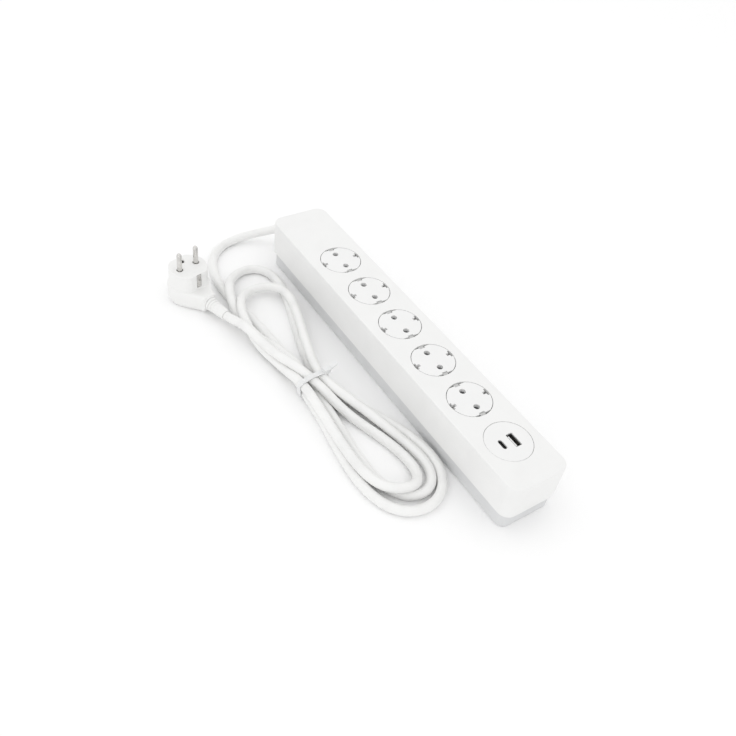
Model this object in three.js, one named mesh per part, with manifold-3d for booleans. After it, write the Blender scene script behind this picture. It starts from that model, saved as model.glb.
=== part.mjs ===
// A five-way socket strip with a USB charger, a mains lead and an angled earthed plug.
// Millimetres, +Z up. The origin is the middle of the strip's underside:
// +X runs towards the USB end, +Y across the strip, and the lead leaves the -X end.
// Each socket has a sprung face that a plug pushes down, with a turning shutter under it.

import * as THREE from 'three';
import { mergeVertices } from 'three/addons/utils/BufferGeometryUtils.js';
import Module from 'manifold-3d';

const wasm = await Module();
wasm.setup();

// ---------------------------------------------------------------- driving dimensions

const GAP = 0.3; // left between pieces that touch
const RUNNING = 0.3; // left round pieces that slide or turn

const strip = { length: 380, width: 58, height: 52, corner: 10, edge: 1.2, wall: 2.2, skirt: 17 };
const base = { inset: 2.6, floor: 2.5, wall: 2, lip: 2 };
const sockets = { count: 5, pitch: 50.5, first: -104.8 };
const usb = { x: 147.3, radius: 20.1, thickness: 3 };

const face = {
  radius: 19.2, flat: 17.3, thickness: 3.6, depth: 9, pocket: 13,
  ribSlot: 15.8, ribHalf: 2.7, notchHalf: 3.5, notchStep: 17, slotHalf: 1.3, slotEnd: 14.2,
};
const well = { bore: 19.5, outer: 21.4, bottom: 14, floor: 1.6, ribHalf: 2.3, ribReach: 16.2, throat: 13.4 };
const pin = { spacing: 19, hole: 2.75, radius: 2.4, length: 19 };
const shutter = { radius: 12.6, thickness: 1.6, turn: 35, hole: 2.9 };
const spring = { radius: 15, wire: 0.45, turns: 4.5 };

const contact = { bottom: 9, top: 28, half: 2.5, leafInner: 2.0, leafOuter: 2.8, thickness: 0.8 };
const bus = { near: 8, far: 11, start: -150, end: 112 };
const earth = { bar: 5, strap: 6.1, thickness: 0.8, half: 2.4, legInner: 17.9, legOuter: 18.7, legTop: 48.5 };

const clamp = { start: -178, end: -170, half: 11, rise: 8 };
const screw = { post: 3.6, bore: 1.6, shaft: 1.3, head: 2.9, bossTop: 5, x: [-178, -29, 174], y: 18 };

const cord = { diameter: 8.6, exitHeight: 27.5, sides: 10 };
const core = { radius: 1.1 };
const relief = { root: 6.8, tip: 5.0, length: 27, hole: 6.6, neck: 6.2, flange: 8 };
const hank = { bottom: 0.3, top: 19 };
const tie = { x: -8, y: -84, turn: 6, half: 15, width: 4.6, thickness: 1.2 };
const plug = {
  x: -173.7, y: -126.4, turn: 15, height: 36, grip: 19, radius: 18.4, flat: 16.3,
  tail: 42, outlet: 10.5, nose: 7.4, earthHole: 2.7,
};

const floorZ = cord.diameter / 2 + 0.1; // centre of a cord lying on the surface
const topInside = strip.height - 2.4;
const socketX = Array.from({ length: sockets.count }, (_, k) => sockets.first + k * sockets.pitch);

// The lead's free stretch, from the strain relief's tip to the hank: the points of its centre line.
const tailRoute = [
  [-214, -12.3, 13.5],
  [-219.4, -17.6, 8.4],
  [-225, -25.5, 5],
  [-229.5, -35, floorZ],
  [-232, -47, floorZ],
  [-230, -60.5, floorZ],
  [-223, -73.5, floorZ],
  [-211.5, -84, floorZ],
  [-196, -91, floorZ],
  [-184, -94, floorZ],
  [-174, -95.6, floorZ],
];
// The strain relief is bent by the lead's weight, from the wall of the strip to its tip.
const reliefRoute = [
  [-strip.length / 2 - GAP, 0, cord.exitHeight],
  [-194, 0, cord.exitHeight],
  [-200.5, -2, 25.2],
  [-207, -6, 20.3],
  [-213.3, -11.6, 14.2],
];
// The outline of the tied hank seen from above, with a lobe each side of the tie.
const hankOutline = [
  [-8, -98.3], [25, -99.5], [60, -104.5], [92, -108.6], [124, -103.5], [146, -89],
  [151.6, -68], [143, -44.5], [124, -32.8], [100, -30.6], [66, -39], [34, -54.5], [10, -65],
  [-8, -69.8], [-40, -63], [-80, -51.5], [-118, -39.5], [-150, -32], [-173, -37],
  [-184, -54], [-180.5, -72], [-172.5, -86], [-166, -101], [-140, -105.5], [-106, -106.6],
  [-100.5, -115], [-90, -113], [-50, -102.5],
];

const white = { color: 0xf1f1ef, roughness: 0.42, metalness: 0 };
const grey = { color: 0xb9babb, roughness: 0.55, metalness: 0 };
const black = { color: 0x17181a, roughness: 0.6, metalness: 0 };
const brass = { color: 0xc6a562, roughness: 0.35, metalness: 1 };
const nickel = { color: 0xc9cacb, roughness: 0.25, metalness: 1 };
const steel = { color: 0x9a9c9f, roughness: 0.35, metalness: 1 };
const clear = { color: 0xe6e7e8, roughness: 0.35, metalness: 0 };
const board = { color: 0x2f6b3f, roughness: 0.5, metalness: 0 };
const blue = { color: 0x2b5fb0, roughness: 0.5, metalness: 0 };
const brown = { color: 0x6b3f22, roughness: 0.5, metalness: 0 };
const yellow = { color: 0xb8c23a, roughness: 0.5, metalness: 0 };

// ---------------------------------------------------------------- shapes and solids

const object = new THREE.Group();

function addMesh(name, geometry, look) {
  const mesh = new THREE.Mesh(geometry, new THREE.MeshStandardMaterial(look));
  mesh.name = name;
  object.add(mesh);
  return mesh;
}

function toSolid(geometry) {
  const bare = geometry.clone();
  bare.deleteAttribute('normal');
  bare.deleteAttribute('uv');
  const merged = mergeVertices(bare, 1e-4);
  const vertProperties = new Float32Array(merged.attributes.position.array);
  const triVerts = new Uint32Array(merged.index.array);
  return new wasm.Manifold(new wasm.Mesh({ numProp: 3, vertProperties, triVerts }));
}

function toGeometry(solid) {
  const mesh = solid.getMesh();
  const geometry = new THREE.BufferGeometry();
  geometry.setAttribute('position', new THREE.BufferAttribute(new Float32Array(mesh.vertProperties), 3));
  geometry.setIndex(new THREE.BufferAttribute(new Uint32Array(mesh.triVerts), 1));
  geometry.computeVertexNormals();
  return geometry;
}

// Joins the first solids and cuts the second ones out of them.
function build(joined, cuts = []) {
  let solid = toSolid(joined[0]);
  for (const piece of joined.slice(1)) {
    solid = solid.add(toSolid(piece));
  }
  for (const piece of cuts) {
    solid = solid.subtract(toSolid(piece));
  }
  return toGeometry(solid);
}

function block(x0, x1, y0, y1, z0, z1) {
  const geometry = new THREE.BoxGeometry(x1 - x0, y1 - y0, z1 - z0);
  return geometry.translate((x0 + x1) / 2, (y0 + y1) / 2, (z0 + z1) / 2);
}

function disc(x, y, radius, z0, z1, sides = 28) {
  const geometry = new THREE.CylinderGeometry(radius, radius, z1 - z0, sides);
  return geometry.rotateX(Math.PI / 2).translate(x, y, (z0 + z1) / 2);
}

function roundedRectangle(length, width, radius) {
  const [x, y] = [length / 2, width / 2];
  const shape = new THREE.Shape();
  shape.moveTo(-x + radius, -y);
  shape.lineTo(x - radius, -y);
  shape.absarc(x - radius, -y + radius, radius, -Math.PI / 2, 0);
  shape.lineTo(x, y - radius);
  shape.absarc(x - radius, y - radius, radius, 0, Math.PI / 2);
  shape.lineTo(-x + radius, y);
  shape.absarc(-x + radius, y - radius, radius, Math.PI / 2, Math.PI);
  shape.lineTo(-x, -y + radius);
  shape.absarc(-x + radius, -y + radius, radius, Math.PI, Math.PI * 1.5);
  return shape;
}

function slab(shape, z0, z1, curveSegments = 3) {
  const options = { depth: z1 - z0, bevelEnabled: false, curveSegments };
  return new THREE.ExtrudeGeometry(shape, options).translate(0, 0, z0);
}

function softSlab(shape, z0, z1, edge, curveSegments = 3) {
  const options = {
    depth: z1 - z0 - 2 * edge, bevelThickness: edge, bevelSize: edge, bevelOffset: -edge,
    bevelSegments: 2, curveSegments,
  };
  return new THREE.ExtrudeGeometry(shape, options).translate(0, 0, z0 + edge);
}

function circleShape(radius) {
  return new THREE.Shape().absarc(0, 0, radius, 0, Math.PI * 2);
}

function smoothPath(points) {
  return new THREE.CatmullRomCurve3(points.map((p) => new THREE.Vector3(...p)), false, 'centripetal');
}

function tube(points, radius, steps, sides = cord.sides) {
  // A full circle gets two sides for each curve segment.
  const extrudePath = smoothPath(points);
  const options = { steps, extrudePath, curveSegments: sides / 2, bevelEnabled: false };
  return new THREE.ExtrudeGeometry(circleShape(radius), options);
}

// Turns a lathe shape that stands on the origin into one that follows a curve of the same length.
function bendAlong(geometry, points, length) {
  const path = smoothPath(points);
  const position = geometry.attributes.position;
  for (let i = 0; i < position.count; i += 1) {
    const along = THREE.MathUtils.clamp(position.getY(i) / length, 0, 1);
    const centre = path.getPointAt(along);
    const forward = path.getTangentAt(along);
    const side = new THREE.Vector3(0, 0, 1).cross(forward).normalize();
    const up = forward.clone().cross(side);
    centre.addScaledVector(up, position.getX(i)).addScaledVector(side, position.getZ(i));
    position.setXYZ(i, centre.x, centre.y, centre.z);
  }
  return geometry;
}

// A round bar along X, between two places.
function rod(x0, x1, y, z, radius, sides = 20) {
  const geometry = new THREE.CylinderGeometry(radius, radius, x1 - x0, sides);
  return geometry.rotateZ(-Math.PI / 2).translate((x0 + x1) / 2, y, z);
}

const screwPlaces = screw.x.flatMap((x) => [[x, -screw.y], [x, screw.y]]);

// ---------------------------------------------------------------- the two halves of the case

function topHousing() {
  const outline = roundedRectangle(strip.length, strip.width, strip.corner);
  const inside = roundedRectangle(
    strip.length - 2 * strip.wall, strip.width - 2 * strip.wall, strip.corner - strip.wall);
  const outer = softSlab(outline, strip.skirt - strip.edge, strip.height, strip.edge);
  const shell = build([outer], [
    slab(inside, strip.skirt - 5, topInside),
    block(-strip.length, strip.length, -strip.width, strip.width, strip.skirt - 8, strip.skirt),
  ]);
  const posts = screwPlaces.map(
    ([x, y]) => disc(x, y, screw.post, screw.bossTop + GAP, topInside + 1, 12));
  const bores = screwPlaces.map(([x, y]) => disc(x, y, screw.bore, screw.bossTop - 1, 20, 8));
  const holes = socketX.map((x) => disc(x, 0, well.bore, topInside - 1, strip.height + 1, 32));
  return build([shell, ...posts], [
    ...bores, ...holes,
    disc(usb.x, 0, usb.radius + GAP, topInside - 1, strip.height + 1, 32),
    rod(-strip.length / 2 - 2, -strip.length / 2 + 5, 0, cord.exitHeight, relief.hole, 24),
  ]);
}

function basePlate() {
  const tray = roundedRectangle(
    strip.length - 2 * base.inset, strip.width - 2 * base.inset, strip.corner - 2);
  const inside = roundedRectangle(
    strip.length - 2 * (base.inset + base.wall), strip.width - 2 * (base.inset + base.wall), 6);
  const top = strip.skirt + base.lip;
  const pan = build([slab(tray, 0, top)], [slab(inside, base.floor, top + 1)]);
  const bosses = screwPlaces.map(
    ([x, y]) => disc(x, y, screw.post + 1.6, base.floor - 1, screw.bossTop, 12));
  const ribs = [...socketX, usb.x].slice(0, -1).flatMap((x) => {
    const middle = x + sockets.pitch / 2;
    return [
      block(middle - 1, middle + 1, bus.near - 1, bus.far + 1, base.floor - 1, contact.bottom - GAP),
      block(middle - 1, middle + 1, -bus.far - 1, -bus.near + 1, base.floor - 1, contact.bottom - GAP),
      block(middle - 1, middle + 1, -3, 3, base.floor - 1, earth.bar - GAP),
    ];
  });
  const saddle = block(
    clamp.start, clamp.end, -clamp.half, clamp.half, base.floor - 1, cord.exitHeight - GAP / 2);
  const counterbores = screwPlaces.map(([x, y]) => disc(x, y, screw.head + GAP, -1, base.floor, 12));
  const bores = screwPlaces.map(([x, y]) => disc(x, y, screw.bore + GAP, -1, screw.bossTop + 1, 8));
  return build([pan, ...bosses, ...ribs, saddle], [
    ...counterbores, ...bores,
    rod(clamp.start - 4, clamp.end + 4, 0, cord.exitHeight, cord.diameter / 2 + GAP),
  ]);
}

function screwSolid(x, y) {
  const headTop = base.floor - GAP;
  const headBottom = headTop - 1.5;
  const slot = block(x - 2, x + 2, y - 0.4, y + 0.4, headBottom - 1, headBottom + 0.8);
  const crossSlot = block(x - 0.4, x + 0.4, y - 2, y + 2, headBottom - 1, headBottom + 0.8);
  return build(
    [disc(x, y, screw.head, headBottom, headTop, 12), disc(x, y, screw.shaft, headTop - 0.5, 18, 8)],
    [slot, crossSlot]);
}

// ---------------------------------------------------------------- a socket

function socketFace(x) {
  const top = strip.height;
  const bottom = top - face.depth;
  const cuts = [disc(x, 0, face.pocket, bottom - 1, top - face.thickness)];
  for (const side of [-1, 1]) {
    const flatEnd = side * (face.radius + 2);
    const [near, far] = [side * face.ribSlot, flatEnd].sort((a, b) => a - b);
    cuts.push(block(x + near, x + far, -face.ribHalf, face.ribHalf, bottom - 1, top + 1));
    const [cutNear, cutFar] = [side * face.flat, flatEnd].sort((a, b) => a - b);
    cuts.push(block(x + cutNear, x + cutFar, -12, 12, bottom - 1, top + 1));
    const [wideNear, wideFar] = [side * face.notchStep, flatEnd].sort((a, b) => a - b);
    cuts.push(block(x - face.notchHalf, x + face.notchHalf, wideNear, wideFar, bottom - 1, top + 1));
    const [slotNear, slotFar] = [side * face.slotEnd, flatEnd].sort((a, b) => a - b);
    cuts.push(block(x - face.slotHalf, x + face.slotHalf, slotNear, slotFar, bottom - 1, top + 1));
    cuts.push(disc(x + side * pin.spacing / 2, 0, pin.hole, top - face.thickness - 1, top + 1, 20));
  }
  return build([disc(x, 0, face.radius, bottom, top, 32)], cuts);
}

function socketShutter(x) {
  const top = strip.height - face.thickness - RUNNING;
  const bottom = top - shutter.thickness;
  const turned = THREE.MathUtils.degToRad(-shutter.turn);
  const cuts = [0, Math.PI].map((half) => {
    const reach = pin.spacing / 2;
    const [dx, dy] = [reach * Math.cos(turned + half), reach * Math.sin(turned + half)];
    return disc(x + dx, dy, shutter.hole, bottom - 1, top + 1, 16);
  });
  return build([disc(x, 0, shutter.radius, bottom, top, 32)], cuts);
}

function socketWell(x) {
  const top = topInside - GAP;
  const floorTop = well.bottom + well.floor;
  const ribs = [-1, 1].map((side) => {
    const [near, far] = [side * well.ribReach, side * (well.bore + 0.6)].sort((a, b) => a - b);
    return block(x + near, x + far, -well.ribHalf, well.ribHalf, floorTop - 0.5, strip.height - 1);
  });
  const keepIn = disc(x, 0, well.bore - RUNNING / 2, well.bottom, strip.height, 32);
  const trimmed = ribs.map((rib) => toGeometry(toSolid(rib).intersect(toSolid(keepIn))));
  const hollow = disc(x, 0, well.bore - 0.6, floorTop, top + 1, 32);
  const ring = build([disc(x, 0, well.outer, well.bottom, top, 32)], [hollow]);
  const bore = disc(x, 0, well.bore, floorTop, top + 1, 32);
  const slots = [-1, 1].map((side) => {
    const ends = [side * (earth.legInner - 0.6), side * (earth.legOuter + 0.5)];
    const [near, far] = ends.sort((a, b) => a - b);
    return block(x - earth.half - 0.5, x + earth.half + 0.5, near, far, well.bottom - 1, floorTop + 1);
  });
  const throat = disc(x, 0, well.throat, well.bottom - 1, floorTop + 1, 28);
  const cup = build([ring], [bore, throat, ...slots]);
  const reachOut = [-1, 1].map((side) => {
    const [near, far] = [side * well.ribReach, side * (well.outer - 0.5)].sort((a, b) => a - b);
    return block(x + near, x + far, -well.ribHalf, well.ribHalf, floorTop - 0.5, top - 1);
  });
  return build([cup, ...trimmed, ...reachOut]);
}

function faceSpring(x) {
  const z0 = well.bottom + well.floor + GAP + spring.wire;
  const z1 = strip.height - face.depth - GAP - spring.wire;
  const stepsPerTurn = 8;
  const steps = Math.round(spring.turns * stepsPerTurn);
  const points = Array.from({ length: steps + 1 }, (_, k) => {
    const angle = (k / stepsPerTurn) * Math.PI * 2;
    const height = z0 + ((z1 - z0) * k) / steps;
    return [x + spring.radius * Math.cos(angle), spring.radius * Math.sin(angle), height];
  });
  return tube(points, spring.wire, steps, 4);
}

function earthClip(x) {
  const { strap, thickness, half, legInner, legOuter, legTop } = earth;
  const pieces = [block(x - half, x + half, -legOuter, legOuter, strap, strap + thickness)];
  for (const side of [-1, 1]) {
    const [near, far] = [side * legInner, side * legOuter].sort((a, b) => a - b);
    pieces.push(block(x - half, x + half, near, far, strap, legTop));
    const [tip, root] = [side * 15.2, side * (legInner + 0.2)].sort((a, b) => a - b);
    pieces.push(block(x - 0.9, x + 0.9, tip, root, 42.5, legTop - 0.5));
  }
  return build(pieces);
}

// ---------------------------------------------------------------- the conductors

function poleBar(side) {
  const { bottom, top, half, leafInner, leafOuter, thickness } = contact;
  const [near, far] = [side * bus.near, side * bus.far].sort((a, b) => a - b);
  const pieces = [block(bus.start, bus.end, near, far, bottom, bottom + thickness)];
  for (const x of socketX) {
    const middle = x + side * pin.spacing / 2;
    const [armNear, armFar] = [0, side * (bus.near + 0.5)].sort((a, b) => a - b);
    pieces.push(block(middle - half, middle + half, armNear, armFar, bottom, bottom + thickness));
    pieces.push(block(middle - half, middle + half, -leafOuter, leafOuter, bottom, bottom + thickness));
    pieces.push(block(middle - half, middle + half, leafInner, leafOuter, bottom, top));
    pieces.push(block(middle - half, middle + half, -leafOuter, -leafInner, bottom, top));
  }
  return build(pieces);
}

function earthBar() {
  const { bar, thickness } = earth;
  return build([block(bus.start, bus.end, -2, 2, bar, bar + thickness)]);
}

function wire(endY, endZ) {
  const start = [-164.8, endY * 0.2, cord.exitHeight - (endY === 0 ? 2.2 : 0)];
  const end = [bus.start - GAP, endY, endZ];
  return tube([start, [-160, endY * 0.6, 19], [-155, endY, endZ + 4], end], core.radius, 8, 8);
}

function cordClamp() {
  const { start, end, half, rise } = clamp;
  const bridge = block(start, end, -half, half, cord.exitHeight + GAP / 2, cord.exitHeight + rise);
  const groove = rod(start - 4, end + 4, 0, cord.exitHeight, cord.diameter / 2 + GAP);
  return build([bridge], [groove]);
}

// ---------------------------------------------------------------- the USB charger

const usbA = { x: 0.9, y: 4.6, length: 13, width: 5.6, sheet: 0.35, bottom: 37, tongueOffset: -1.25 };
const usbC = { x: 0.5, y: -6.8, length: 9.1, width: 3.3, sheet: 0.35, bottom: 37 };

function portCut(port, grow, z0, z1, radius) {
  const shape = roundedRectangle(port.length + 2 * grow, port.width + 2 * grow, radius);
  return slab(shape, z0, z1, 4).translate(usb.x + port.x, port.y, 0);
}

function usbInsert() {
  const top = strip.height;
  const hollow = disc(usb.x, 0, 18.2, 32, top - usb.thickness, 28);
  const ring = build([disc(usb.x, 0, usb.radius - 0.4, 33, top - 1, 32)], [hollow]);
  const ledges = [-1, 1].map((side) => {
    const [near, far] = [side * 14.5, side * 18.6].sort((a, b) => a - b);
    return block(usb.x + near, usb.x + far, -4, 4, 33, 34.8);
  });
  return build([disc(usb.x, 0, usb.radius, top - usb.thickness, top, 32), ring, ...ledges], [
    portCut(usbA, GAP, 40, top + 1, 0.6),
    portCut(usbC, GAP, 40, top + 1, (usbC.width + 2 * GAP) / 2 - 0.01),
  ]);
}

function portShell(port, radius) {
  const top = strip.height - 0.4;
  const innerRadius = Math.max(radius - port.sheet, 0.2);
  const inner = portCut(port, -port.sheet, port.bottom + 0.5, top + 1, innerRadius);
  return build([portCut(port, 0, port.bottom, top, radius)], [inner]);
}

function usbTongues() {
  const ax = usb.x + usbA.x;
  const ay = usbA.y + usbA.tongueOffset;
  const cx = usb.x + usbC.x;
  const wide = block(ax - 5.5, ax + 5.5, ay - 0.9, ay + 0.9, usbA.bottom + 0.8, 50.6);
  const small = block(cx - 3.35, cx + 3.35, usbC.y - 0.35, usbC.y + 0.35, usbC.bottom + 0.8, 50.8);
  addMesh('usb_a_tongue', wide, white);
  addMesh('usb_c_tongue', small, black);
}

// ---------------------------------------------------------------- the lead and its hank

// The tapered boot stands outside the wall, and a neck and flange hold it in the wall.
function leadRelief() {
  const { root, tip, length, neck, flange } = relief;
  const profile = [[0, 0], [root, 0], [root, 2], [root - 0.5, 3]];
  const ribs = 4;
  for (let k = 0; k < ribs; k += 1) {
    const start = 4 + k * 5.2;
    const radius = root - 0.5 - ((root - 0.5 - tip) * (start + 2)) / length;
    profile.push([radius + 0.2, start], [radius, start + 3.2]);
    profile.push([radius - 0.8, start + 3.6], [radius - 0.8, start + 4.8]);
  }
  profile.push([tip, length - 1], [tip - 0.4, length], [0, length]);
  const outline = profile.map(([r, along]) => new THREE.Vector2(r, along));
  const boot = bendAlong(new THREE.LatheGeometry(outline, 12), reliefRoute, length);
  const inward = -strip.length / 2 + strip.wall;
  return build([
    boot,
    rod(-strip.length / 2 - 1, inward + 1, 0, cord.exitHeight, neck, 24),
    rod(inward + GAP, inward + GAP + 2, 0, cord.exitHeight, flange, 24),
  ]);
}

function hankSolid() {
  const points = [...hankOutline, hankOutline[0]].map(([x, y]) => new THREE.Vector3(x, y, 0));
  const curve = new THREE.CatmullRomCurve3(points.slice(0, -1), true, 'centripetal');
  const outline = curve.getPoints(64).slice(0, -1);
  const shape = new THREE.Shape(outline.map((p) => new THREE.Vector2(p.x, p.y)));
  const half = tie.width / 2 + GAP;
  const groove = block(-half, half, -30, 30, -1, tie.thickness + 0.1 + GAP);
  groove.rotateZ(THREE.MathUtils.degToRad(tie.turn)).translate(tie.x, tie.y, 0);
  return build([slab(shape, hank.bottom, hank.top)], [groove]);
}

function tieBand() {
  const inner = { half: tie.half + GAP, bottom: tie.thickness + 0.1, top: hank.top + GAP };
  const outer = { half: inner.half + tie.thickness, top: inner.top + tie.thickness };
  const w = tie.width / 2;
  const band = build(
    [block(-w, w, -outer.half, outer.half, 0.1, outer.top)],
    [block(-w - 1, w + 1, -inner.half, inner.half, inner.bottom, inner.top)]);
  const head = block(
    -w - 1.2, w + 1.2, inner.half - 4, outer.half + 2.6, outer.top - 4.4, outer.top + 1.6);
  const clearance = block(-w - 2, w + 2, -inner.half, inner.half, inner.bottom, inner.top);
  const solid = build([band, head], [clearance]);
  return solid.rotateZ(THREE.MathUtils.degToRad(tie.turn)).translate(tie.x, tie.y, 0);
}

// ---------------------------------------------------------------- the plug

// The plug is drawn about its own middle, with the lead leaving it along +X, and lies with its pins up.
function placePlug(geometry) {
  return geometry.rotateZ(THREE.MathUtils.degToRad(plug.turn)).translate(plug.x, plug.y, 0);
}

function gripOutline(grow) {
  const shape = new THREE.Shape();
  const radius = 20 + grow;
  const half = 7.2 + grow;
  const end = 31 + grow;
  shape.moveTo(end, -half);
  shape.lineTo(end, half);
  shape.bezierCurveTo(24, half + 1, 16, 15, 10, Math.sqrt(radius * radius - 100));
  shape.absarc(0, 0, radius, Math.PI / 3, (5 * Math.PI) / 3);
  shape.bezierCurveTo(16, -15, 24, -half - 1, end, -half);
  return shape;
}

const strapRoom = { half: 2.6, z0: 21, z1: 22.6 };

function plugBody() {
  const { height, grip, radius, flat, outlet } = plug;
  const front = toSolid(disc(0, 0, radius, grip - 1, height, 32));
  const faced = front.intersect(toSolid(block(-flat, flat, -30, 30, 0, 60)));
  const cuts = [disc(-10, 0, plug.earthHole, height - 17, height + 1, 16)];
  for (const side of [-1, 1]) {
    cuts.push(disc(0, side * pin.spacing / 2, pin.radius + GAP, height - 8, height + 1, 16));
    const [near, far] = [side * (flat - 1.1), side * (flat + 1)].sort((a, b) => a - b);
    cuts.push(block(near, far, -strapRoom.half, strapRoom.half, strapRoom.z0 - GAP, height - 2 * GAP));
  }
  const { half, z0, z1 } = strapRoom;
  cuts.push(block(-flat - 1, flat + 1, -half, half, z0 - GAP, z1 - GAP));
  const body = build([softSlab(gripOutline(0), 0, grip, 1.6, 8), toGeometry(faced)], cuts);
  const nose = rod(26, 32, 0, outlet, plug.nose, 20);
  return placePlug(build([body, nose]));
}

function plugEarthStrap() {
  const { flat, height } = plug;
  const half = strapRoom.half - GAP;
  const pieces = [block(-flat + 0.5, flat - 0.5, -half, half, strapRoom.z0, strapRoom.z1 - 2 * GAP)];
  for (const side of [-1, 1]) {
    const [near, far] = [side * (flat - 0.8), side * (flat + 0.2)].sort((a, b) => a - b);
    pieces.push(block(near, far, -half, half, strapRoom.z0, height - 0.9));
  }
  return placePlug(build(pieces));
}

function plugPin(side) {
  const profile = [[0, 0], [pin.radius, 0], [pin.radius, 25.5], [1.7, 26.6], [0, 27]];
  const outline = profile.map(([r, z]) => new THREE.Vector2(r, z));
  const solid = new THREE.LatheGeometry(outline, 16).rotateX(Math.PI / 2);
  return placePlug(solid.translate(0, side * pin.spacing / 2, plug.height + pin.length - 27));
}

function plugRelief() {
  const { tail, outlet } = plug;
  const start = 32 + GAP;
  const profile = [[0, start], [6.6, start]];
  for (let k = 0; k < 3; k += 1) {
    const along = start + 1 + k * 3;
    const rib = 6.6 - k * 0.3;
    profile.push([rib, along], [rib, along + 1.7], [5.3, along + 2], [5.3, along + 2.8]);
  }
  profile.push([5.2, tail + 6], [4.8, tail + 12], [0, tail + 12]);
  const outline = profile.map(([r, along]) => new THREE.Vector2(r, along));
  const boot = new THREE.LatheGeometry(outline, 12).rotateZ(-Math.PI / 2);
  return placePlug(boot.translate(0, 0, outlet));
}

function leadToPlug() {
  const turn = THREE.MathUtils.degToRad(plug.turn);
  const at = (along, z) => [plug.x + along * Math.cos(turn), plug.y + along * Math.sin(turn), z];
  const route = [at(54.8, plug.outlet), at(58.5, plug.outlet - 0.4), at(62, plug.outlet - 1)];
  return tube(route, cord.diameter / 2, 3);
}

// ---------------------------------------------------------------- the whole strip

addMesh('top_housing', topHousing(), white);
addMesh('base_plate', basePlate(), grey);
screwPlaces.forEach(([x, y], k) => addMesh(`case_screw_${k + 1}`, screwSolid(x, y), steel));

socketX.forEach((x, k) => {
  addMesh(`socket_face_${k + 1}`, socketFace(x), white);
  addMesh(`shutter_${k + 1}`, socketShutter(x), grey);
  addMesh(`socket_well_${k + 1}`, socketWell(x), white);
  addMesh(`face_spring_${k + 1}`, faceSpring(x), steel);
  addMesh(`earth_clip_${k + 1}`, earthClip(x), nickel);
});

addMesh('live_bar', poleBar(1), brass);
addMesh('neutral_bar', poleBar(-1), brass);
addMesh('earth_bar', earthBar(), brass);
addMesh('live_wire', wire((bus.near + bus.far) / 2, contact.bottom + 0.4), brown);
addMesh('neutral_wire', wire(-(bus.near + bus.far) / 2, contact.bottom + 0.4), blue);
addMesh('earth_wire', wire(0, earth.bar + 0.4), yellow);
addMesh('cord_clamp', cordClamp(), white);
addMesh('cord_inner_end', rod(-184.8, -166.2, 0, cord.exitHeight, cord.diameter / 2, 16), white);

addMesh('usb_insert', usbInsert(), white);
addMesh('usb_a_shell', portShell(usbA, 0.5), nickel);
addMesh('usb_c_shell', portShell(usbC, usbC.width / 2 - 0.01), nickel);
usbTongues();
addMesh('usb_board', block(usb.x - 15, usb.x + 15, -8.8, 8.8, 35.1, 36.7), board);
addMesh('usb_transformer', block(usb.x - 11, usb.x + 3, -7, 7, 20, 34.8), yellow);
addMesh('usb_capacitor', disc(usb.x + 9, 0, 4, 22, 34.8, 16), black);

addMesh('cord_relief', leadRelief(), white);
addMesh('cord_tail', tube(tailRoute, cord.diameter / 2, 14), white);
addMesh('cord_hank', hankSolid(), white);
addMesh('cable_tie', tieBand(), clear);
addMesh('cord_to_plug', leadToPlug(), white);
addMesh('plug_relief', plugRelief(), white);
addMesh('plug_body', plugBody(), white);
addMesh('plug_pin_1', plugPin(1), nickel);
addMesh('plug_pin_2', plugPin(-1), nickel);
addMesh('plug_earth_strap', plugEarthStrap(), nickel);

export default object;
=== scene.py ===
"""A five-way socket strip with a USB charger, its tied lead and an angled earthed plug.

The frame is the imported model's: metres, +Z up, the origin under the middle of the strip. The small shapes
are written in millimetres and turned into metres as their meshes are made.
"""

import math

import bmesh
import bpy
import numpy as np
from mathutils import Matrix, Vector


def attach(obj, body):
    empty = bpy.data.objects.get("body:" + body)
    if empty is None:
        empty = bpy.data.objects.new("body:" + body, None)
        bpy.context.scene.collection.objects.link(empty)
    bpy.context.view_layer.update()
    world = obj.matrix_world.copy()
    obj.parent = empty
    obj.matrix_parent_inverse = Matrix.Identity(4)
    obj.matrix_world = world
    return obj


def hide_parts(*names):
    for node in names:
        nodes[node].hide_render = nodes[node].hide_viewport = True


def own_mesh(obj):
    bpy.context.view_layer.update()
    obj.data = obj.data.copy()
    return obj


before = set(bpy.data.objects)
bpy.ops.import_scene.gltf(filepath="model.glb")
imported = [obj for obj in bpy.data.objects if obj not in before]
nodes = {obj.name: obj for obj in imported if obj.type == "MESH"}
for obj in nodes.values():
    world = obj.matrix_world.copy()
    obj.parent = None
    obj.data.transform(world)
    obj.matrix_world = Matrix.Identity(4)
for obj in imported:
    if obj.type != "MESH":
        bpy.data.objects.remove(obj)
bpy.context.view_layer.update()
scene = bpy.context.scene
MM = 0.001

# ---------------------------------------------------------------- driving dimensions, in millimetres

STRIP = dict(length=380, width=58, height=52, corner=10, edge=1.5, wall=2.2, skirt=17, roof=2.4)
BASE = dict(inset=2.6, corner=10.6, floor=2.5, wall=2, top=19, foot=1.2)
PITCH = 50.5
SOCKET_X = [-104.8 + PITCH * k for k in range(5)]
PIN_HALF = 9.5  # half the distance between a pair of pins
FACE = dict(radius=19.1, flat=17.3, depth=9, thickness=3.6, pocket=13, hole=2.75)
FACE_NOTCH = dict(half=3.5, step=17, slot_half=1.3, slot_end=14.2, rib_end=15.8, rib_half=2.7)
USB_X = 147.3
USB_RADIUS = 20.2
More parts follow.
